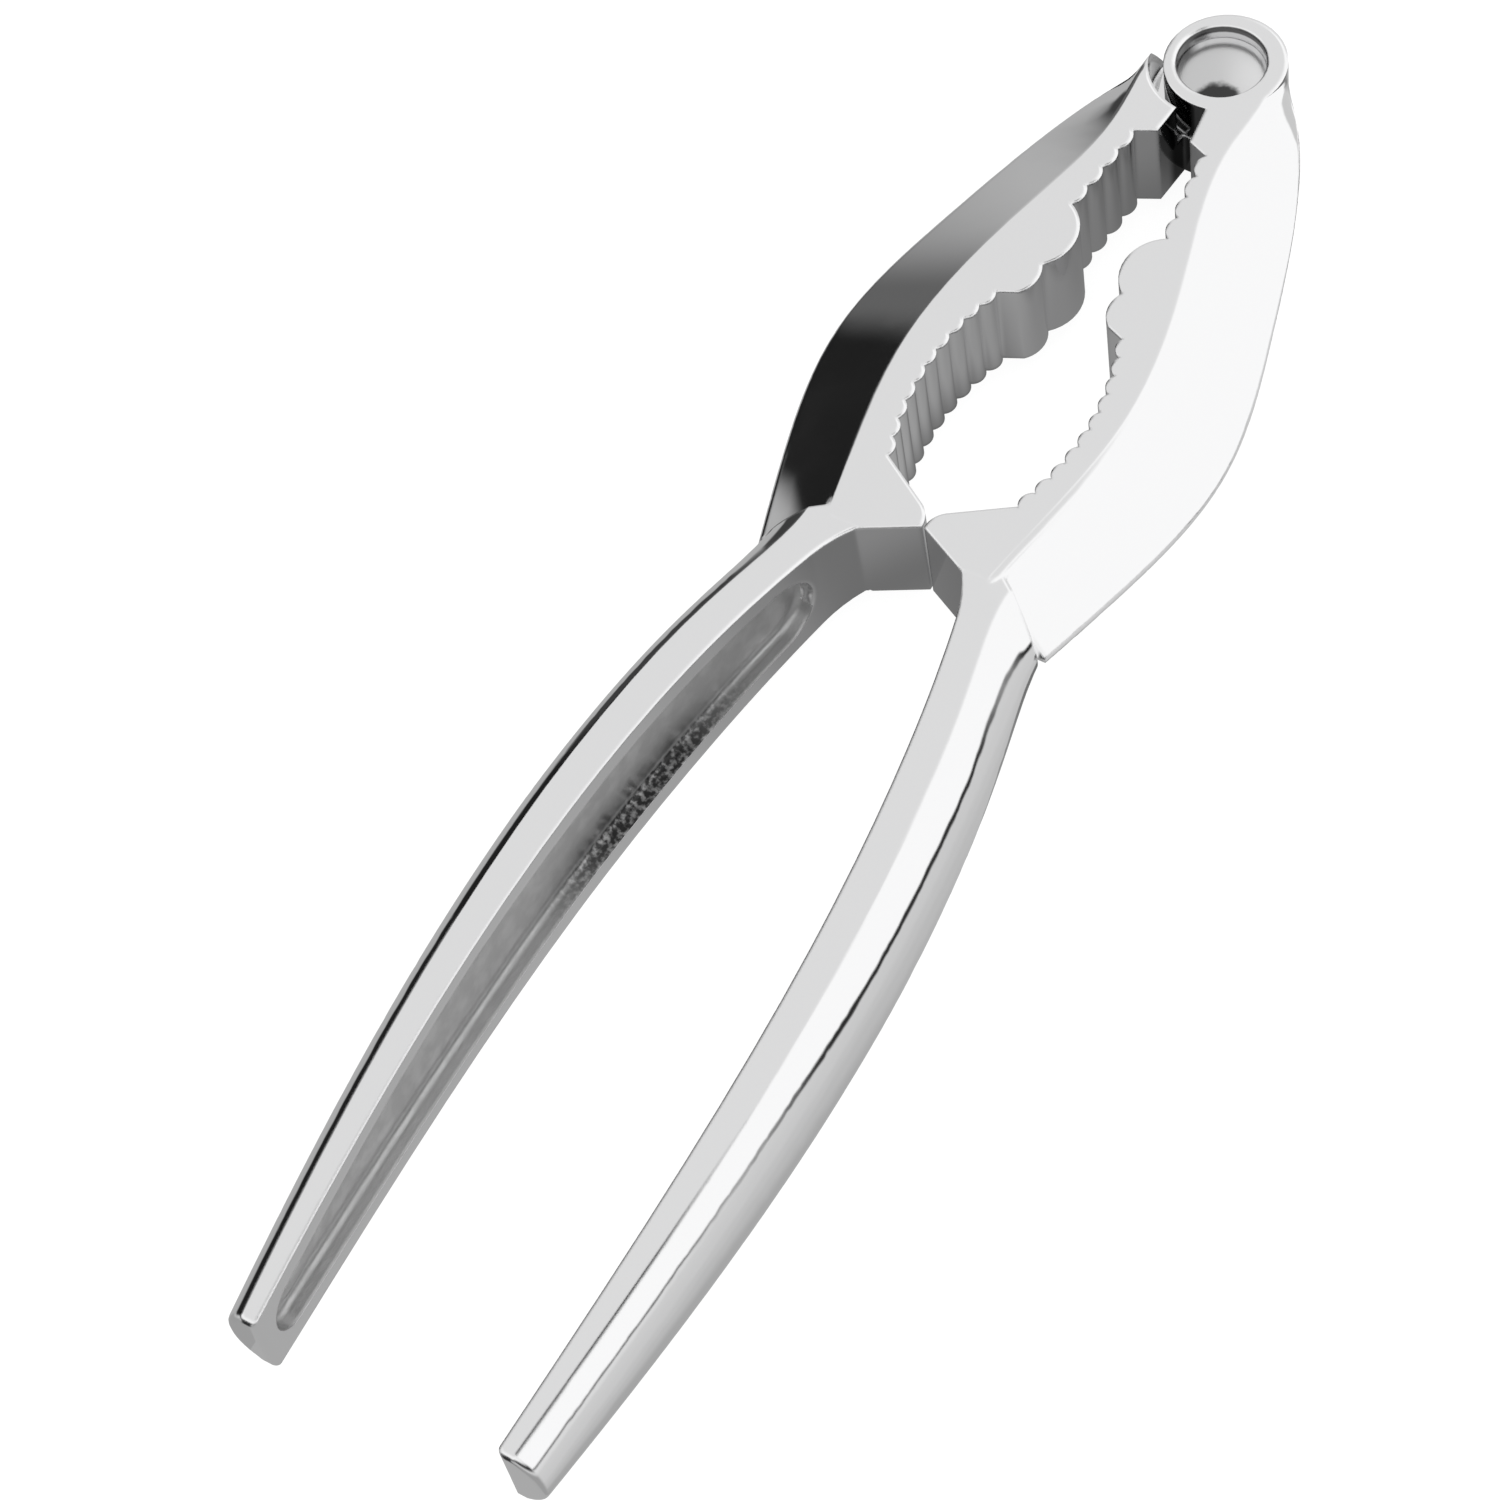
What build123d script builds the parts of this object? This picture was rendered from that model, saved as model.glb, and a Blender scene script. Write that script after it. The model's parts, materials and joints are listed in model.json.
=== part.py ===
from build123d import *
import os
from math import cos, radians, sin, sqrt

# A cast nutcracker of two identical arms, hinged on one pin at the head.
# All sizes are millimetres. "Distance" runs from the pin's axis towards the handle tips.
# "Half gap" runs from the tool's centre line out to the arm.

# Thickness of the jaws and the joint at the head
JAW_THICKNESS = 11.0
EYE_RADIUS = 6.35
EYE_OFFSET = 0.45
EYE_FACE_GAP = 0.2
SHOULDER_GAP = 0.7
BORE_RADIUS = 4.6
BORE_CHAMFER = 0.25
PIN_RUNNING_CLEARANCE = 0.05
PIN_RECESS = 1.3
PIN_DOME = 0.35
RIDGE_HEAD_ANGLE = 35.0
FLAT_HEAD_ANGLE = 20.0

# Throat between the jaws, just below the head
THROAT_HALF_GAP = 1.0
THROAT_TIP_HALF_GAP = 1.8
THROAT_LENGTH = 4.4

# Small nut opening: a straight toothed stretch
SMALL_TEETH = 4
SMALL_TOOTH_PITCH = 2.73
SMALL_TOOTH_HEIGHT = 0.65
SMALL_NOTCH_DROP = 1.0
SMALL_TOP_HALF_GAP = 4.1
SMALL_END_HALF_GAP = 5.4

# Two smooth lobes between the openings
LOBE_LENGTH = 8.0
LOBE_CREST_DROP = 4.56
LOBE_HALF_GAP = 2.75
LOBE_VALLEY_HALF_GAP = 4.4
LOWER_LOBE_LENGTH = 4.1
LOWER_LOBE_HALF_GAP = 3.95
LOWER_LOBE_END_HALF_GAP = 5.0

# Large nut opening: a concave toothed arc
LARGE_TEETH = 10
LARGE_TOOTH_PITCH = 2.24
LARGE_TOOTH_HEIGHT = 0.55
LARGE_ARC_RADIUS = 29.1
LARGE_HALF_GAP = 9.17
LARGE_ARC_LEAD = 11.9

# Stop noses that meet when the tool is closed
NOSE_GAP = 0.3
NOSE_DISTANCE = 63.0
NOSE_FACE = 0.4
NOSE_FLANK_RISE = 1.9
NOSE_FLANK_HALF_GAP = 1.3
NOSE_ROUND_HALF_GAP = 0.45
NOSE_ROOT_HALF_GAP = 5.8
NOSE_ROOT_DROP = 2.9

# Outside of the jaw: a ridge at mid thickness, sized to its sharp corner, and a narrower flat on each face
RIDGE_SHOULDER_HALF_WIDTH = 12.1
RIDGE_SHOULDER_DISTANCE = 6.0
RIDGE_UPPER_HALF_WIDTH = 19.1
RIDGE_UPPER_DISTANCE = 25.8
RIDGE_HALF_WIDTH = 22.4
RIDGE_DISTANCE = 43.0
RIDGE_LOWER_HALF_WIDTH = 19.6
RIDGE_LOWER_DISTANCE = 58.8
RIDGE_NECK_HALF_WIDTH = 16.4
RIDGE_ROUND = 0.8
FLAT_SHOULDER_HALF_WIDTH = 7.2
FLAT_SHOULDER_DISTANCE = 1.8
FLAT_WAIST_HALF_WIDTH = 6.45
FLAT_WAIST_DISTANCE = 9.5
FLAT_UPPER_HALF_WIDTH = 9.2
FLAT_UPPER_DISTANCE = 25.0
FLAT_HALF_WIDTH = 12.1
FLAT_DISTANCE = 45.0
FLAT_LOWER_HALF_WIDTH = 10.8
FLAT_LOWER_DISTANCE = 55.5
FLAT_NECK_HALF_WIDTH = 8.8
FLAT_ROUND = 1.4
NECK_SLOPE_LENGTH = 3.0
NECK_STEP_HALF_WIDTH = 9.8
NECK_STEP_DISTANCE = 65.0
NECK_STEP_ANGLE = 38.0

# Handle: bowed in plan, crowned in side view, rounded outside, with a trough inside
HANDLE_REACH = 161.8
NECK_DISTANCE = 67.0
GRIP_DISTANCE = 84.0
BOW_LENGTH = 48.0
NECK_HALF_GAP = 7.9
NECK_BLEND = 4.0
HANDLE_TAPER_POWER = 1.5
HANDLE_SPANS = 9
GRIP_HALF_GAP = 10.8
BOW_HALF_GAP = 13.95
TIP_HALF_GAP = 12.5
CROWN = 2.1
CROWN_LEAD = 16.0
TIP_THICKNESS = 9.4
NECK_FLAT = 3.7
GRIP_FLAT = 3.6
TIP_FLAT = 1.55
NECK_SIDE = 3.9
GRIP_SIDE = 3.2
TIP_SIDE = 2.5
SIDE_START_ANGLE = 33.0
TIP_ROUND = 0.7
TROUGH_DEPTH = 1.9
TROUGH_RIM = 2.0
TROUGH_LEAD = 5.0
TROUGH_END_GAP = 5.3
TROUGH_FLOOR_ROUND = 0.8

# Share of an edge that is small enough to count as one place on it
EDGE_SEARCH_STEP = 1e-9

# Values worked out from the sizes above
HALF_THICKNESS = JAW_THICKNESS / 2
SHOULDER_RADIUS = EYE_RADIUS + EYE_OFFSET + SHOULDER_GAP
PIVOT_Y = (HANDLE_REACH - EYE_RADIUS) / 2
MID_Z = HALF_THICKNESS + CROWN
HANDLE_START = NECK_DISTANCE + NECK_BLEND
CROWN_DISTANCE = GRIP_DISTANCE + CROWN_LEAD
BOW_DISTANCE = GRIP_DISTANCE + BOW_LENGTH
TROUGH_START = HANDLE_START + TROUGH_LEAD
TROUGH_END = HANDLE_REACH - TROUGH_END_GAP
FAR = 2 * HANDLE_REACH


def point(half_gap, distance):
    """A point of the right arm's plan, from its half gap and its distance from the pin."""
    return (half_gap, -distance)


def handle_half_height(distance):
    """Half the handle's thickness: a crown that falls off to the jaw's thickness and to the tip's."""
    if distance < CROWN_DISTANCE:
        drop = CROWN
        share = (CROWN_DISTANCE - distance) / (CROWN_DISTANCE - NECK_DISTANCE)
    else:
        drop = HALF_THICKNESS + CROWN - TIP_THICKNESS / 2
        share = (distance - CROWN_DISTANCE) / (HANDLE_REACH - CROWN_DISTANCE)
    return HALF_THICKNESS + CROWN - drop * share ** 2


def along_handle(distance, neck, grip, tip):
    """A handle size at a distance: even from neck to grip, then falling off towards the tip."""
    if distance <= GRIP_DISTANCE:
        share = (distance - NECK_DISTANCE) / (GRIP_DISTANCE - NECK_DISTANCE)
        return neck + (grip - neck) * max(share, 0)
    share = (distance - GRIP_DISTANCE) / (HANDLE_REACH - GRIP_DISTANCE)
    return grip + (tip - grip) * share ** HANDLE_TAPER_POWER


def scallops(valleys, height):
    """One rounded tooth between each two valleys, bulging towards the centre line."""
    teeth = []
    for start, end in zip(valleys, valleys[1:]):
        pitch = sqrt((end[0] - start[0]) ** 2 + (end[1] - start[1]) ** 2)
        lift = ((end[1] - start[1]) / pitch * height, -(end[0] - start[0]) / pitch * height)
        crest = ((start[0] + end[0]) / 2 + lift[0], (start[1] + end[1]) / 2 + lift[1])
        teeth.append(ThreePointArc(start, crest, end))
    return teeth


def handle_inner_edge():
    """The handle's inner edge in plan, from the nose's root to the tip."""
    return Spline(
        point(NECK_HALF_GAP, HANDLE_START),
        point(GRIP_HALF_GAP, GRIP_DISTANCE),
        point(BOW_HALF_GAP, BOW_DISTANCE),
        point(TIP_HALF_GAP, HANDLE_REACH),
    )


def inner_profile():
    """The arm's whole inner edge in plan: throat, teeth, lobes, nose and handle."""
    throat_end = EYE_RADIUS + THROAT_LENGTH
    small_start = throat_end + SMALL_NOTCH_DROP
    small_end = small_start + SMALL_TEETH * SMALL_TOOTH_PITCH
    small_valleys = []
    for i in range(SMALL_TEETH + 1):
        share = i / SMALL_TEETH
        half_gap = SMALL_TOP_HALF_GAP + (SMALL_END_HALF_GAP - SMALL_TOP_HALF_GAP) * share
        small_valleys.append(point(half_gap, small_start + i * SMALL_TOOTH_PITCH))

    lobe_end = small_end + LOBE_LENGTH
    lobe_crest = point(LOBE_HALF_GAP, small_end + LOBE_CREST_DROP)
    lobe_valley = point(LOBE_VALLEY_HALF_GAP, lobe_end)
    lower_crest = point(LOWER_LOBE_HALF_GAP, lobe_end + LOWER_LOBE_LENGTH / 2)
    lower_end = point(LOWER_LOBE_END_HALF_GAP, lobe_end + LOWER_LOBE_LENGTH)

    arc_x = LARGE_HALF_GAP - LARGE_ARC_RADIUS
    arc_distance = lobe_end + LOWER_LOBE_LENGTH + LARGE_ARC_LEAD
    turn = LARGE_TOOTH_PITCH / LARGE_ARC_RADIUS
    first_turn = -LARGE_ARC_LEAD / LARGE_ARC_RADIUS + turn / 4
    large_valleys = []
    for i in range(LARGE_TEETH + 1):
        angle = first_turn + i * turn
        reach = LARGE_ARC_RADIUS * cos(angle)
        drop = LARGE_ARC_RADIUS * sin(angle)
        large_valleys.append(point(arc_x + reach, arc_distance + drop))

    nose_flank = point(NOSE_FLANK_HALF_GAP, NOSE_DISTANCE - NOSE_FLANK_RISE)
    nose_round = point(NOSE_ROUND_HALF_GAP, NOSE_DISTANCE - NOSE_FLANK_RISE / 2)
    nose_tip = point(NOSE_GAP / 2, NOSE_DISTANCE)
    nose_foot = point(NOSE_GAP / 2, NOSE_DISTANCE + NOSE_FACE)
    nose_root = point(NOSE_ROOT_HALF_GAP, NOSE_DISTANCE + NOSE_FACE + NOSE_ROOT_DROP)

    handle_edge = handle_inner_edge()
    edges = [
        Line(point(THROAT_HALF_GAP, EYE_RADIUS / 2), point(THROAT_TIP_HALF_GAP, throat_end)),
        Line(point(THROAT_TIP_HALF_GAP, throat_end), small_valleys[0]),
        *scallops(small_valleys, SMALL_TOOTH_HEIGHT),
        ThreePointArc(small_valleys[-1], lobe_crest, lobe_valley),
        ThreePointArc(lobe_valley, lower_crest, lower_end),
        Line(lower_end, large_valleys[0]),
        *scallops(large_valleys, LARGE_TOOTH_HEIGHT),
        Line(large_valleys[-1], nose_flank),
        ThreePointArc(nose_flank, nose_round, nose_tip),
        Line(nose_tip, nose_foot),
        Line(nose_foot, nose_root),
        TangentArc(nose_root, handle_edge @ 0, tangent=-(handle_edge % 0), tangent_from_first=False),
        handle_edge,
    ]
    return edges


def opening_cutter():
    """Everything on the inner side of the arm's inner edge, through the whole thickness."""
    edges = inner_profile()
    start = edges[0] @ 0
    end = edges[-1] @ 1
    edges += [
        Line(end, (end.X, -FAR)),
        Line((end.X, -FAR), (-FAR, -FAR)),
        Line((-FAR, -FAR), (-FAR, start.Y)),
        Line((-FAR, start.Y), start),
    ]
    region = make_face(edges)
    return extrude(Pos(0, 0, -FAR) * region, 2 * FAR)


def jaw_outline(outer_points, z):
    """One closed plan of the jaw at a height: the centre line, the outer curve and the two ends."""
    outer = Spline(*outer_points)
    last = outer @ 1
    face = make_face([
        Line((0, 0), outer @ 0),
        outer,
        Line(last, (0, last.Y)),
        Line((0, last.Y), (0, 0)),
    ])
    return Pos(0, 0, z) * face


def head_point(angle):
    """A point on the eye's round, at an angle above the arm's own side."""
    turn = radians(angle)
    return (EYE_OFFSET + EYE_RADIUS * cos(turn), EYE_RADIUS * sin(turn))


def jaw_body():
    """The jaw before its inner edge is cut: a ridge at mid thickness, sloping to a flat on each face."""
    neck_end = NECK_DISTANCE + NECK_BLEND / 2
    ridge_points = [
        head_point(RIDGE_HEAD_ANGLE),
        point(RIDGE_SHOULDER_HALF_WIDTH, RIDGE_SHOULDER_DISTANCE),
        point(RIDGE_UPPER_HALF_WIDTH, RIDGE_UPPER_DISTANCE),
        point(RIDGE_HALF_WIDTH, RIDGE_DISTANCE),
        point(RIDGE_LOWER_HALF_WIDTH, RIDGE_LOWER_DISTANCE),
        point(RIDGE_NECK_HALF_WIDTH, neck_end),
    ]
    flat_points = [
        head_point(FLAT_HEAD_ANGLE),
        point(FLAT_SHOULDER_HALF_WIDTH, FLAT_SHOULDER_DISTANCE),
        point(FLAT_WAIST_HALF_WIDTH, FLAT_WAIST_DISTANCE),
        point(FLAT_UPPER_HALF_WIDTH, FLAT_UPPER_DISTANCE),
        point(FLAT_HALF_WIDTH, FLAT_DISTANCE),
        point(FLAT_LOWER_HALF_WIDTH, FLAT_LOWER_DISTANCE),
        point(FLAT_NECK_HALF_WIDTH, neck_end - NECK_SLOPE_LENGTH),
    ]
    ridge = jaw_outline(ridge_points, 0)
    flat = jaw_outline(flat_points, HALF_THICKNESS)
    upper = loft([ridge, flat], ruled=True)
    blank = upper + mirror(upper, about=Plane.XY)
    ridge_edge = blank.edges().filter_by_position(Axis.Z, 0, 0).sort_by(Edge.length)[-1]
    blank = fillet(ridge_edge, RIDGE_ROUND)
    for height in (-HALF_THICKNESS, HALF_THICKNESS):
        level = blank.edges().filter_by_position(Axis.Z, height, height)
        blank = fillet(level.filter_by(GeomType.BSPLINE), FLAT_ROUND)
    return blank


def handle_section(distance, inner_edge):
    """The handle's closed section at a distance: a flat on each face and one rounded outer side."""
    station = Plane(origin=(0, -distance, 0), x_dir=(1, 0, 0), z_dir=(0, -1, 0))
    flat = inner_edge + along_handle(distance, NECK_FLAT, GRIP_FLAT, TIP_FLAT)
    side = flat + along_handle(distance, NECK_SIDE, GRIP_SIDE, TIP_SIDE)
    top = handle_half_height(distance)
    inside = inner_edge - TROUGH_DEPTH
    outward = cos(radians(SIDE_START_ANGLE))
    down = sin(radians(SIDE_START_ANGLE))
    face = make_face([
        Line((inside, -top), (flat, -top)),
        Spline((flat, -top), (side, 0), (flat, top), tangents=((outward, down), (-outward, down))),
        Line((flat, top), (inside, top)),
        Line((inside, top), (inside, -top)),
    ])
    return station * face


def trough_cutter():
    """The long recess in the handle's inner side: a band along the inner edge, cut to a rounded slot."""
    edge = handle_inner_edge()
    inside = edge @ 0
    outside = edge @ 1
    band = make_face([
        edge,
        Line(outside, (0, outside.Y)),
        Line((0, outside.Y), (0, inside.Y)),
        Line((0, inside.Y), inside),
    ])
    band = extrude(Pos(TROUGH_DEPTH, 0, -HALF_THICKNESS) * band, JAW_THICKNESS)
    start_half = handle_half_height(TROUGH_START) - TROUGH_RIM
    crown_half = handle_half_height(CROWN_DISTANCE) - TROUGH_RIM
    end_half = handle_half_height(TROUGH_END) - TROUGH_RIM
    slot = make_face([
        ThreePointArc((-TROUGH_START, -start_half), (-TROUGH_START + start_half, 0), (-TROUGH_START, start_half)),
        ThreePointArc((-TROUGH_START, start_half), (-CROWN_DISTANCE, crown_half), (-TROUGH_END, end_half)),
        ThreePointArc((-TROUGH_END, end_half), (-TROUGH_END - end_half, 0), (-TROUGH_END, -end_half)),
        ThreePointArc((-TROUGH_END, -end_half), (-CROWN_DISTANCE, -crown_half), (-TROUGH_START, -start_half)),
    ])
    slot = extrude(Plane.YZ * slot, FAR)
    trough = band & slot
    floor = trough.faces().sort_by(Face.area)[-1]
    return fillet(floor.edges(), TROUGH_FLOOR_ROUND)


def edge_half_gap(edge, distance):
    """The half gap of the handle's inner edge at a distance, found by halving the edge's span."""
    before, after = 0.0, 1.0
    while after - before > EDGE_SEARCH_STEP:
        middle = (before + after) / 2
        if -(edge @ middle).Y < distance:
            before = middle
        else:
            after = middle
    return (edge @ before).X


def handle_body():
    """The handle before its inner edge is cut: a loft along sections from inside the jaw to the tip."""
    edge = handle_inner_edge()
    sections = [handle_section(NECK_DISTANCE - NECK_BLEND, NECK_HALF_GAP)]
    for i in range(HANDLE_SPANS + 1):
        distance = HANDLE_START + (HANDLE_REACH - HANDLE_START) * i / HANDLE_SPANS
        sections.append(handle_section(distance, edge_half_gap(edge, distance)))
    return loft(sections)


def neck_step_cutter():
    """The corner that is taken off the handle where it comes out of the jaw's slope."""
    outward = FAR * cos(radians(NECK_STEP_ANGLE))
    down = FAR * sin(radians(NECK_STEP_ANGLE))
    corner = point(NECK_STEP_HALF_WIDTH, NECK_STEP_DISTANCE)
    far_corner = point(NECK_STEP_HALF_WIDTH + outward, NECK_STEP_DISTANCE + down)
    region = make_face([
        Line(corner, far_corner),
        Line(far_corner, (far_corner[0], 0)),
        Line((far_corner[0], 0), (corner[0], 0)),
        Line((corner[0], 0), corner),
    ])
    return extrude(Pos(0, 0, -FAR) * region, 2 * FAR)


def build_right_arm():
    """The arm that holds the pin, with its eye in the upper half, about the pin's axis and mid height."""
    half_joint = EYE_FACE_GAP / 2
    opening = opening_cutter()
    handle = handle_body() - opening
    tip = handle.faces().sort_by(Axis.Y)[0]
    handle = fillet(tip.edges(), TIP_ROUND) - neck_step_cutter() - trough_cutter()
    arm = (jaw_body() - opening) + handle
    below_joint = Cylinder(SHOULDER_RADIUS, FAR, align=(Align.CENTER, Align.CENTER, Align.MAX))
    arm = arm - Pos(0, 0, half_joint) * below_joint
    eye = Cylinder(EYE_RADIUS, HALF_THICKNESS - half_joint, align=(Align.CENTER, Align.CENTER, Align.MIN))
    arm = arm + Pos(EYE_OFFSET, 0, half_joint) * eye
    arm = arm - Cylinder(BORE_RADIUS, FAR)
    bore_rim = arm.edges().filter_by(GeomType.CIRCLE).sort_by_distance((0, 0, HALF_THICKNESS))[0]
    return chamfer(bore_rim, BORE_CHAMFER)


def domed_post(radius, height):
    """An upright post with a slightly domed top."""
    dome_radius = (radius ** 2 + PIN_DOME ** 2) / (2 * PIN_DOME)
    post = Cylinder(radius, height, align=(Align.CENTER, Align.CENTER, Align.MIN))
    return post & Pos(0, 0, height - dome_radius) * Sphere(dome_radius)


def build_hinge_pin():
    """The pin: a press fit in the upper eye and a running fit in the lower one, short of both faces."""
    reach = HALF_THICKNESS - PIN_RECESS
    lower_post = domed_post(BORE_RADIUS - PIN_RUNNING_CLEARANCE, reach)
    return domed_post(BORE_RADIUS, reach) + mirror(lower_post, about=Plane.XY)


os.makedirs("parts", exist_ok=True)
right_arm = build_right_arm()
hinge_pin = build_hinge_pin()
in_place = Pos(0, PIVOT_Y, MID_Z)
export_step(in_place * right_arm, "parts/right_arm.step")
export_step(in_place * Rot(0, 180, 0) * right_arm, "parts/left_arm.step")
export_step(in_place * hinge_pin, "parts/hinge_pin.step")
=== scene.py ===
import bpy
import json
from math import tau
from mathutils import Matrix, Vector

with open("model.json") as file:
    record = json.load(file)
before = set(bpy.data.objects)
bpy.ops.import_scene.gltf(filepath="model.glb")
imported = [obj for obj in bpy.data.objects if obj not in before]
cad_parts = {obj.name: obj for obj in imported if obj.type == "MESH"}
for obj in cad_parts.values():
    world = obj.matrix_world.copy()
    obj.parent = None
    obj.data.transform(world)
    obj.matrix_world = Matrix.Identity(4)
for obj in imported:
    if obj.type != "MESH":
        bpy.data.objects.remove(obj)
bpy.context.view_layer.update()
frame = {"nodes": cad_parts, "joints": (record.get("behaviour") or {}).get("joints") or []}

# The part: the pin's place and half the jaws' thickness in millimetres
MM = 0.001
PIVOT = Vector(frame["joints"][0]["pos_m"])
HALF_JAW = 5.5
JAW_TOP = PIVOT + Vector((0, 0, HALF_JAW * MM))

# Camera: the photograph's place and lens, in millimetres about the pin's axis on the jaws' upper face
CAMERA_SENSOR = 36.0
CAMERA_FOCAL_PIXELS = 4000.0
PHOTO_PIXELS = 1510.0
CAMERA_RIGHT = Vector((0.86009, 0.49659, -0.11682))
CAMERA_DOWN = Vector((0.37492, -0.77059, -0.51538))
CAMERA_FORWARD = Vector((-0.34595, 0.39948, -0.84896))
CAMERA_OFFSET = Vector((47.494, -70.657, 407.105))
CAMERA_CLIP_START = 0.01

# Studio: brightness of the room by elevation in degrees, the same from the last step upwards
ROOM = (
    (-90, 0.34),
    (-71, 0.42),
    (-60, 0.54),
    (-52, 0.59),
    (-40, 0.65),
    (-20, 0.68),
    (-8, 0.80),
)

# Softbox on the right: azimuth and elevation of its lower edge, its top and sides, and their soft edges
SOFTBOX_EDGE = (
    (-8, 1),
    (2, 0),
    (15, -6),
    (25, -17),
    (38, -18),
    (46, -9),
)
SOFTBOX_EDGE_SOFT = (-1.5, 1)
SOFTBOX_TOP = 62
SOFTBOX_TOP_SOFT = 2
SOFTBOX_AZIMUTHS = (-20, 76)
SOFTBOX_SIDE_SOFT = 4
SOFTBOX = 1.07

# Dark gaps under the softbox: azimuth from and to, soft edge, depth below its edge, brightness
GAPS = (
    ((14, 48), 7, 7.8, 0.03),
    ((-14, 12), 5, 4.0, 0.12),
)
GAP_SOFT = 2

# Studio cards: azimuth from and to, elevation from and to, soft edges of both in degrees, brightness.
# The tables lie behind the softbox, and the flags, bright or dark, stand before it
TABLES = (
    ((110, 205), (-100, -2), (10, 8), 0.45),
    ((-200, -20), (-100, -20), (15, 8), 0.36),
)
FLAGS = (
    ((66, 112), (30, 62), (4, 3), 1.07),
    ((-22, 29), (53, 75), (6, 2), 0.04),
    ((-172, -25), (13, 54), (10, 12), 1.0),
    ((-205, -18), (-8, 14), (8, 8), 0.04),
    ((-126, -98), (-44, 20), (8, 4), 0.03),
    ((-205, -168), (-17, 13), (8, 2.5), 0.015),
    ((140.5, 205), (-19, 14), (5, 3), 0.13),
    ((149.5, 205), (-17, 13), (2.5, 2.5), 0.015),
    ((142, 154), (-23, -9), (1.5, 2.5), 0.05),
    ((163, 176), (4.5, 14), (0.8, 2.5), 0.48),
)

# Floor and backdrop, in metres, and the paper's own tone and glow
FLOOR_SIZE = 4
BACKDROP_RADIUS = 2.4
PAPER = 0.2
PAPER_GLOW = 0.93
WHITE = (1, 1, 1, 1)

# Shaded table under the tool, seen only in reflections: distance from the pin in millimetres and brightness
TABLE_SHADE = (
    (-6, 0.04),
    (4, 0.07),
    (12, 0.16),
    (20, 0.21),
    (30, 0.25),
    (40, 0.31),
    (55, 0.38),
    (62, 0.20),
    (67, 0.17),
    (74, 0.25),
    (82, 0.32),
    (94, 0.38),
    (110, 0.42),
    (170, 0.43),
)
TABLE_HALF_WIDTH = 17.0
CARD_HEIGHT = 0.1

# Deeper shade under the jaws: its share of the light, and where it sets in aside and from the pin
UNDER_JAW = 0.45
UNDER_JAW_ASIDE = (3, 9)
UNDER_JAW_DISTANCE = (66, 60)

# White card on the table beside the head: distance aside and distance from the pin at two corners,
# and where the shade of the head on it begins and ends
HEAD_CARD = ((6.0, 6.0), (110.0, -110.0))
HEAD_SHADE_ASIDE = (17.0, 21.0)
HEAD_SHADE_DISTANCE = (-10.2, -9.4)
HEAD_SHADE = 0.64

# Edges of arms and pin: the rounds that the shading gives them, in millimetres
ARM_EDGE = 0.65
PIN_EDGE = 0.3
EDGE_SAMPLES = 8

# Buffed plate: its tone, the haze on it, and the size and depth of ripple and polishing lines
CHROME = 0.88
CHROME_ROUGHNESS = (0.035, 0.075)
HAZE_SIZE = 14.0
HAZE_SPAN = (0.4, 0.75)
RIPPLE_SIZE = 9.0
RIPPLE_DEPTH = 0.0025
LINE_SIZE = 0.25
LINE_STRETCH = 40.0
LINE_DEPTH = 0.0004
FAINT_BLUE = 1.005

# Shade at the joint, in metres: the bore's wall, the reach of the turning walls, and how softly each ends
JOINT_SHADE = 0.14
BORE = 4.65 * MM
BORE_SOFT = 0.1 * MM
BORE_SHADE_DEPTH = 0.85 * MM
BORE_SHADE_SOFT = 0.12 * MM
JOINT_REACH = 8.0 * MM
JOINT_SOFT = 1.5 * MM
EYE = 6.8 * MM
EYE_SOFT = 0.4 * MM
OUTWARD_SPAN = (0, 2 * MM)
BEHIND_SPAN = (1 * MM, 3 * MM)
LEVEL_SPAN = (0.3, 0.5)

# Rough casting in the troughs: its tones, grain and lumps, and painted dark reflection on its ledges, even
# and in darker patches over part of the length
CAST_DARK = 0.66
CAST_LIGHT = 0.76
CAST_ROUGHNESS = (0.42, 0.28)
GRAIN_SIZE = 0.45
GRAIN_DEPTH = 0.006
LUMP_SIZE = 2.2
LUMP_DEPTH = 0.01
LUMP_SPAN = (0.35, 0.7)
# Painted dark reflection on the upward faces: its tone and the facing that sets it, then the darker patches'
# tone, size, share, distances from the pin and fade
LEDGE_PAINTED_REFLECTION = 0.5
LEDGE_SPAN = (0.25, 0.6)
PATCH_PAINTED_REFLECTION = 0.05
PAINTED_PATCH_SIZE = 0.55
PAINTED_PATCH_SHARE = (0.25, 0.6)
PAINTED_PATCH_SPAN = (84, 108)
PAINTED_PATCH_FADE = 7

# The pin: its tone and wear, its turning rings, and a patch of painted shade at its rim
STEEL = 0.68
STEEL_ROUGHNESS = (0.16, 0.3)
WEAR_SIZE = 3.5
RING_PITCH = 0.22
RING_DEPTH = 0.0006
PIN_PAINTED_SHADE = 0.06
PIN_SHADE_PLACE = Vector((1.5, -4.2, 0))
PIN_SHADE_REACH = 2.6
PIN_SHADE_SOFT = 0.9
PIN_SHADE_EDGE = 0.8

# Trough in the handles: its ends and widest place by distance from the pin, half its height there,
# how much that shrinks to the far end, and how far a face in it may lean outwards
TROUGH_START = 76.0
TROUGH_END = 156.5
TROUGH_CROWN = 108.9
TROUGH_HALF = 5.69
TROUGH_TAPER = 2.51
TROUGH_MARGIN = 0.3
TROUGH_LEAN = 0.3


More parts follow.
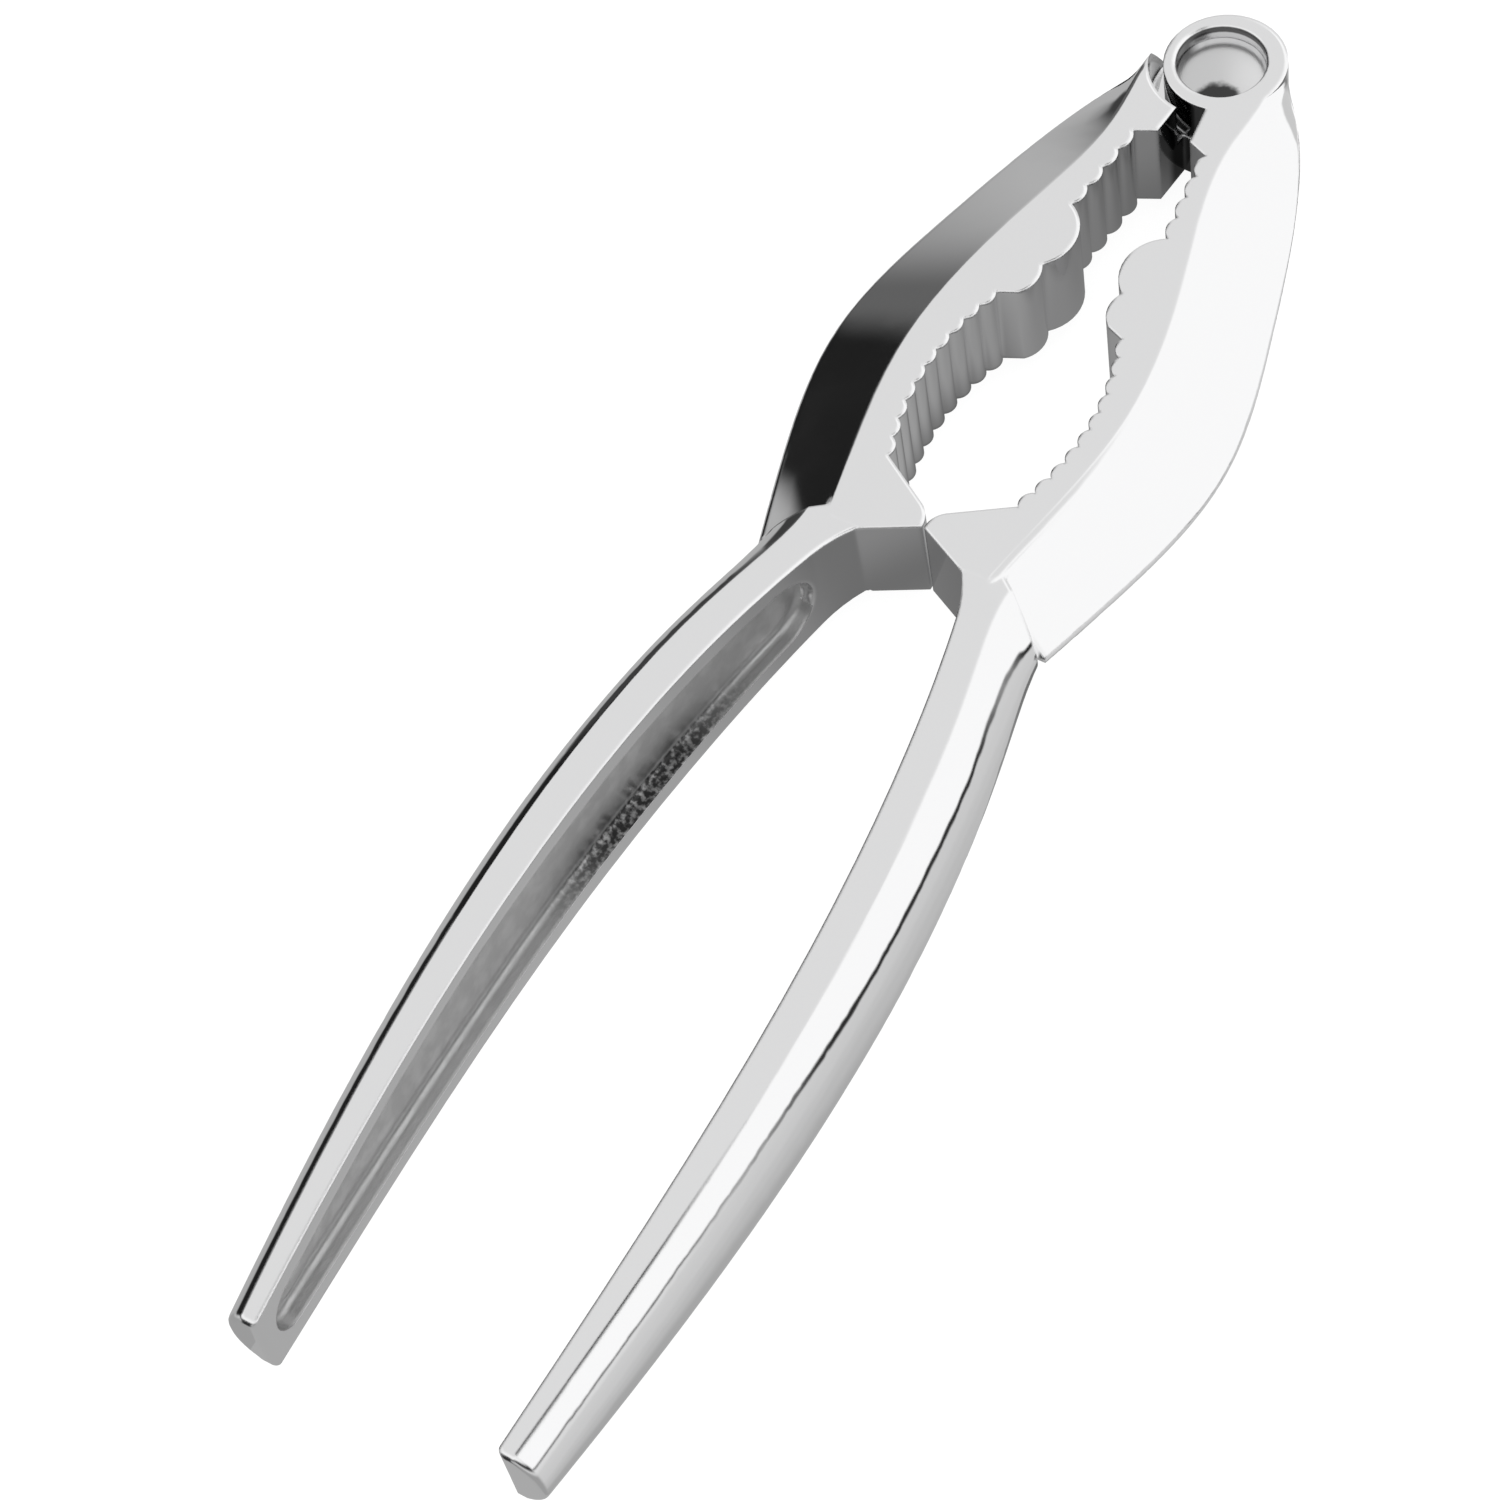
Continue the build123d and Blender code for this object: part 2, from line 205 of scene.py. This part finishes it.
def add_camera():
    rows = Matrix((CAMERA_RIGHT, CAMERA_DOWN, CAMERA_FORWARD))
    place = -(rows.transposed() @ CAMERA_OFFSET) * MM + JAW_TOP
    turn = Matrix((CAMERA_RIGHT, -CAMERA_DOWN, -CAMERA_FORWARD)).transposed()
    data = bpy.data.cameras.new("camera")
    data.sensor_width = CAMERA_SENSOR
    data.lens = CAMERA_SENSOR * CAMERA_FOCAL_PIXELS / PHOTO_PIXELS
    data.clip_start = CAMERA_CLIP_START
    camera = bpy.data.objects.new("camera", data)
    camera.matrix_world = Matrix.Translation(place) @ turn.to_4x4()
    bpy.context.scene.collection.objects.link(camera)
    bpy.context.scene.camera = camera


class Graph:
    """A short way to write node trees: most calls add the nodes they need and give back an output."""

    def __init__(self, tree):
        self.tree = tree

    def node(self, kind, inputs=(), **settings):
        node = self.tree.nodes.new(kind)
        for name, value in settings.items():
            setattr(node, name, value)
        for socket, value in dict(inputs).items():
            self.feed(node, socket, value)
        return node

    def feed(self, node, socket, value):
        """Gives an input a constant, or links it to an output."""
        if isinstance(value, bpy.types.NodeSocket):
            self.tree.links.new(value, node.inputs[socket])
        else:
            node.inputs[socket].default_value = value

    def place(self):
        """The place on the object in its own frame, which at rest is the shared one."""
        return self.node("ShaderNodeTexCoord").outputs["Object"]

    def normal(self):
        return self.node("ShaderNodeNewGeometry").outputs["Normal"]

    def along(self, vector, axis):
        return self.node("ShaderNodeSeparateXYZ", {0: vector}).outputs[axis]

    def math(self, operation, first, second=0.0):
        return self.node("ShaderNodeMath", {0: first, 1: second}, operation=operation).outputs[0]

    def times(self, first, second):
        return self.math("MULTIPLY", first, second)

    def vector(self, operation, first, second=(0, 0, 0), output="Vector"):
        node = self.node("ShaderNodeVectorMath", {0: first, 1: second}, operation=operation)
        return node.outputs[output]

    def mix(self, factor, first, second):
        inputs = {"Factor": factor, "A": first, "B": second}
        return self.node("ShaderNodeMix", inputs).outputs["Result"]

    def tone(self, factor, first, second):
        """A neutral grey, with the faintest blue, between two levels."""
        node = self.node("ShaderNodeMix", {"Factor": factor}, data_type="RGBA")
        node.inputs["A"].default_value = (first, first, first * FAINT_BLUE, 1)
        node.inputs["B"].default_value = (second, second, second * FAINT_BLUE, 1)
        return node.outputs["Result"]

    def smooth(self, value, low, high):
        """Goes softly from nought at low to one at high; low may be the larger."""
        inputs = {"Value": value, "From Min": low, "From Max": high}
        node = self.node("ShaderNodeMapRange", inputs, interpolation_type="SMOOTHSTEP")
        return node.outputs["Result"]

    def between(self, value, span, soft):
        low, high = span
        rise = self.smooth(value, low - soft, low + soft)
        fall = self.smooth(value, high + soft, high - soft)
        return self.times(rise, fall)

    def ladder(self, value, steps):
        """Goes smoothly from step to step of a list of places and levels."""
        level = steps[0][1]
        for (low, _), (high, next_level) in zip(steps, steps[1:]):
            level = self.mix(self.smooth(value, low, high), level, next_level)
        return level

    def cards(self, azimuth, elevation, cards, light):
        """Lays cards over the light, each over the one before."""
        for azimuths, elevations, soft, brightness in cards:
            across = self.between(azimuth, azimuths, soft[0])
            upward = self.between(elevation, elevations, soft[1])
            light = self.mix(self.times(across, upward), light, brightness)
        return light

    def from_axis(self, place, centre=PIVOT):
        """How far a place is from an upright axis, in metres."""
        about = self.vector("SUBTRACT", place, centre)
        flat = self.vector("MULTIPLY", about, (1, 1, 0))
        return self.vector("LENGTH", flat, output="Value")

    def from_pin(self, place):
        """How far a place is from the pin towards the handles, in millimetres."""
        return self.math("DIVIDE", self.math("SUBTRACT", PIVOT.y, self.along(place, "Y")), MM)

    def noise(self, place, size, detail):
        inputs = {"Vector": place, "Scale": 1 / (size * MM), "Detail": detail}
        return self.node("ShaderNodeTexNoise", inputs).outputs[0]

    def bump(self, height, depth, normal):
        inputs = {"Height": height, "Distance": depth * MM, "Normal": normal}
        return self.node("ShaderNodeBump", inputs).outputs[0]

    def edge_round(self, radius):
        """A normal that turns smoothly over sharp edges, as on a part that is tumbled and plated."""
        return self.node("ShaderNodeBevel", {"Radius": radius * MM}, samples=EDGE_SAMPLES).outputs[0]


def add_studio():
    """A soft room, painted by direction: pale above, grey tables, a softbox with gaps below it, and flags."""
    world = bpy.data.worlds.new("studio")
    world.use_nodes = True
    graph = Graph(world.node_tree)
    way = graph.node("ShaderNodeTexCoord").outputs["Generated"]
    parts = graph.node("ShaderNodeSeparateXYZ", {0: way}).outputs
    azimuth = graph.math("DEGREES", graph.math("ARCTAN2", parts["Y"], parts["X"]))
    elevation = graph.math("DEGREES", graph.math("ARCSINE", parts["Z"]))
    light = graph.ladder(elevation, ROOM)
    light = graph.cards(azimuth, elevation, TABLES, light)
    above_edge = graph.math("SUBTRACT", elevation, graph.ladder(azimuth, SOFTBOX_EDGE))
    below_top = graph.smooth(elevation, SOFTBOX_TOP + SOFTBOX_TOP_SOFT, SOFTBOX_TOP - SOFTBOX_TOP_SOFT)
    upward = graph.times(graph.smooth(above_edge, *SOFTBOX_EDGE_SOFT), below_top)
    across = graph.between(azimuth, SOFTBOX_AZIMUTHS, SOFTBOX_SIDE_SOFT)
    light = graph.mix(graph.times(across, upward), light, SOFTBOX)
    for azimuths, soft, depth, brightness in GAPS:
        below = graph.between(above_edge, (-depth, 0), GAP_SOFT)
        gap = graph.times(below, graph.between(azimuth, azimuths, soft))
        light = graph.mix(gap, light, brightness)
    light = graph.cards(azimuth, elevation, FLAGS, light)
    graph.feed(world.node_tree.nodes["Background"], "Color", light)
    bpy.context.scene.world = world


def new_metal(name):
    """A metal with its node graph; the shader's other values are set by the caller."""
    material = bpy.data.materials.new(name)
    material.use_nodes = True
    shader = material.node_tree.nodes["Principled BSDF"]
    shader.inputs["Metallic"].default_value = 1
    return material, Graph(material.node_tree), shader


def new_glow(name):
    """A white light as a material; the caller may feed its colour."""
    material = bpy.data.materials.new(name)
    material.use_nodes = True
    graph = Graph(material.node_tree)
    glow = graph.node("ShaderNodeEmission", {"Color": WHITE})
    graph.feed(material.node_tree.nodes["Material Output"], "Surface", glow.outputs[0])
    return material, graph, glow


def hide_from(thing, rays):
    for ray in rays:
        setattr(thing, "visible_" + ray, False)


def joint_shade(graph, place):
    """One on open faces, nought in the bore and on the walls that the arms turn past each other."""
    radius = graph.from_axis(place)
    normal = graph.normal()
    about = graph.vector("SUBTRACT", place, PIVOT)
    height = graph.math("ABSOLUTE", graph.along(about, "Z"))
    shade_end = HALF_JAW * MM - BORE_SHADE_DEPTH
    deep = graph.smooth(height, shade_end + BORE_SHADE_SOFT, shade_end - BORE_SHADE_SOFT)
    bore = graph.math("MAXIMUM", graph.smooth(radius, BORE, BORE + BORE_SOFT), deep)
    level = graph.smooth(graph.math("ABSOLUTE", graph.along(normal, "Z")), *LEVEL_SPAN)
    away = graph.smooth(radius, JOINT_REACH, JOINT_REACH + JOINT_SOFT)
    facing = graph.vector("DOT_PRODUCT", normal, about, output="Value")
    past_eye = graph.smooth(radius, EYE, EYE + EYE_SOFT)
    outward = graph.times(past_eye, graph.smooth(facing, *OUTWARD_SPAN))
    behind = graph.smooth(graph.along(about, "Y"), *BEHIND_SPAN)
    open_wall = level
    for part in (away, outward, behind):
        open_wall = graph.math("MAXIMUM", open_wall, part)
    return graph.times(bore, open_wall)


def chrome():
    """Bright plate on a buffed casting: faint ripple, fine lines along the arm and a little haze."""
    material, graph, shader = new_metal("arm_chrome")
    place = graph.place()
    haze = graph.smooth(graph.noise(place, HAZE_SIZE, detail=3), *HAZE_SPAN)
    graph.feed(shader, "Roughness", graph.mix(haze, *CHROME_ROUGHNESS))
    graph.feed(shader, "Base Color", graph.tone(joint_shade(graph, place), JOINT_SHADE, CHROME))
    drawn = graph.node("ShaderNodeMapping", {"Vector": place, "Scale": (1, 1 / LINE_STRETCH, 1)}).outputs[0]
    lines = graph.noise(drawn, LINE_SIZE, detail=2)
    ripple = graph.noise(place, RIPPLE_SIZE, detail=1)
    normal = graph.bump(ripple, RIPPLE_DEPTH, graph.edge_round(ARM_EDGE))
    graph.feed(shader, "Normal", graph.bump(lines, LINE_DEPTH, normal))
    return material


def cast_chrome():
    """Plate over the rough casting in the troughs, where no buffing wheel reaches, with painted dark
    reflection on its upward faces.
    """
    material, graph, shader = new_metal("arm_cast")
    place = graph.place()
    grain = graph.noise(place, GRAIN_SIZE, detail=3)
    lumps = graph.noise(place, LUMP_SIZE, detail=2)
    tone = graph.smooth(lumps, *LUMP_SPAN)
    graph.feed(shader, "Roughness", graph.mix(tone, *CAST_ROUGHNESS))
    # Painted dark reflection: upward faces get a darker base colour, and darker still in patches over part of
    # the length.
    ledge = graph.smooth(graph.along(graph.normal(), "Z"), *LEDGE_SPAN)
    patch_area = graph.times(ledge, graph.between(graph.from_pin(place), PAINTED_PATCH_SPAN, PAINTED_PATCH_FADE))
    painted_patches = graph.times(patch_area, graph.smooth(graph.noise(place, PAINTED_PATCH_SIZE, detail=4), *PAINTED_PATCH_SHARE))
    plate = graph.mix(ledge, graph.mix(tone, CAST_DARK, CAST_LIGHT), LEDGE_PAINTED_REFLECTION)
    graph.feed(shader, "Base Color", graph.mix(painted_patches, plate, PATCH_PAINTED_REFLECTION))
    normal = graph.bump(lumps, LUMP_DEPTH, graph.edge_round(ARM_EDGE))
    graph.feed(shader, "Normal", graph.bump(grain, GRAIN_DEPTH, normal))
    return material


def pin_painted_shade(graph, place):
    """Nought on a patch of painted shade at the pin's rim towards the handles, and one elsewhere."""
    reach = graph.from_axis(place, PIVOT + PIN_SHADE_PLACE * MM)
    wander = graph.times(graph.noise(place, PIN_SHADE_EDGE, detail=2), PIN_SHADE_EDGE * MM)
    edge = graph.math("ADD", reach, wander)
    return graph.smooth(edge, PIN_SHADE_REACH * MM, (PIN_SHADE_REACH + PIN_SHADE_SOFT) * MM)


def turned_steel():
    """The pin: plain steel with turning rings about its axis, and a patch of painted shade at its rim."""
    material, graph, shader = new_metal("pin_steel")
    place = graph.place()
    rings = graph.math("SINE", graph.times(graph.from_axis(place), tau / (RING_PITCH * MM)))
    wear = graph.noise(place, WEAR_SIZE, detail=3)
    graph.feed(shader, "Roughness", graph.mix(wear, *STEEL_ROUGHNESS))
    # Painted shade: the base colour is darkened in a patch at the rim towards the handles.
    graph.feed(shader, "Base Color", graph.tone(pin_painted_shade(graph, place), PIN_PAINTED_SHADE, STEEL))
    graph.feed(shader, "Normal", graph.bump(rings, RING_DEPTH, graph.edge_round(PIN_EDGE)))
    return material


def in_trough(polygon):
    """Whether a face of an arm is in the long recess of its handle."""
    centre = polygon.center / MM
    distance = PIVOT.y / MM - centre.y
    height = abs(centre.z - PIVOT.z / MM)
    inward = polygon.normal.x * centre.x < TROUGH_LEAN * abs(centre.x)
    beyond = max(TROUGH_START - distance, distance - TROUGH_END, 0)
    share = (distance - TROUGH_CROWN) / (TROUGH_END - TROUGH_CROWN)
    half = TROUGH_HALF - TROUGH_TAPER * share ** 2
    return inward and height ** 2 + beyond ** 2 < (half + TROUGH_MARGIN) ** 2


def add_table_card(name, corners, light):
    """A flat card on the table that only reflections see; light gives its brightness from a place."""
    (left, near), (right, far) = corners
    outline = ((left, near), (left, far), (right, far), (right, near))
    points = [(x * MM, PIVOT.y - y * MM, CARD_HEIGHT * MM) for x, y in outline]
    mesh = bpy.data.meshes.new(name)
    mesh.from_pydata(points, [], [(0, 1, 2, 3)])
    card = bpy.data.objects.new(name, mesh)
    bpy.context.scene.collection.objects.link(card)
    material, graph, glow = new_glow(name)
    place = graph.place()
    aside = graph.math("DIVIDE", graph.math("ABSOLUTE", graph.along(place, "X")), MM)
    graph.feed(glow, "Color", light(graph, aside, graph.from_pin(place)))
    mesh.materials.append(material)
    hide_from(card, ("camera", "diffuse", "transmission", "volume_scatter", "shadow"))


def shaded_table(graph, aside, distance):
    """The table close under the tool: darker towards the hinge, in the neck and under the jaws."""
    light = graph.ladder(distance, TABLE_SHADE)
    under = graph.times(graph.smooth(aside, *UNDER_JAW_ASIDE), graph.smooth(distance, *UNDER_JAW_DISTANCE))
    return graph.times(light, graph.mix(under, 1.0, UNDER_JAW))


def white_card(graph, aside, distance):
    """A white card beside the head, with the head's own shade on it."""
    beside = graph.smooth(aside, *HEAD_SHADE_ASIDE)
    below = graph.smooth(distance, *HEAD_SHADE_DISTANCE)
    return graph.mix(graph.math("MAXIMUM", beside, below), HEAD_SHADE, SOFTBOX)


def add_floor():
    """White paper that glows a little, so that it stays white; the metal reflects the cards instead."""
    bpy.ops.mesh.primitive_plane_add(size=FLOOR_SIZE)
    floor = bpy.context.object
    floor.name = "floor"
    paper = bpy.data.materials.new("paper")
    paper.use_nodes = True
    shader = paper.node_tree.nodes["Principled BSDF"]
    shader.inputs["Base Color"].default_value = (PAPER, PAPER, PAPER, 1)
    shader.inputs["Roughness"].default_value = 1
    shader.inputs["Specular IOR Level"].default_value = 0
    shader.inputs["Emission Color"].default_value = WHITE
    shader.inputs["Emission Strength"].default_value = PAPER_GLOW
    floor.data.materials.append(paper)
    hide_from(floor, ("glossy",))


def add_backdrop():
    """A white dome that only the camera sees, so that low views show no painted room behind the floor."""
    bpy.ops.mesh.primitive_uv_sphere_add(radius=BACKDROP_RADIUS)
    dome = bpy.context.object
    dome.name = "backdrop"
    material, _, _ = new_glow("backdrop")
    dome.data.materials.append(material)
    hide_from(dome, ("diffuse", "glossy", "transmission", "volume_scatter", "shadow"))


bpy.context.scene.view_settings.view_transform = "Standard"
add_camera()
add_studio()
add_floor()
add_backdrop()
table = ((-TABLE_HALF_WIDTH, TABLE_SHADE[-1][0]), (TABLE_HALF_WIDTH, TABLE_SHADE[0][0]))
add_table_card("table_shade", table, shaded_table)
add_table_card("head_card", HEAD_CARD, white_card)
arm_finish = (chrome(), cast_chrome())
pin_finish = turned_steel()
for name, node in frame["nodes"].items():
    node.data.materials.clear()
    if name == "hinge_pin":
        node.data.materials.append(pin_finish)
        continue
    for finish in arm_finish:
        node.data.materials.append(finish)
    for polygon in node.data.polygons:
        polygon.material_index = int(in_trough(polygon))
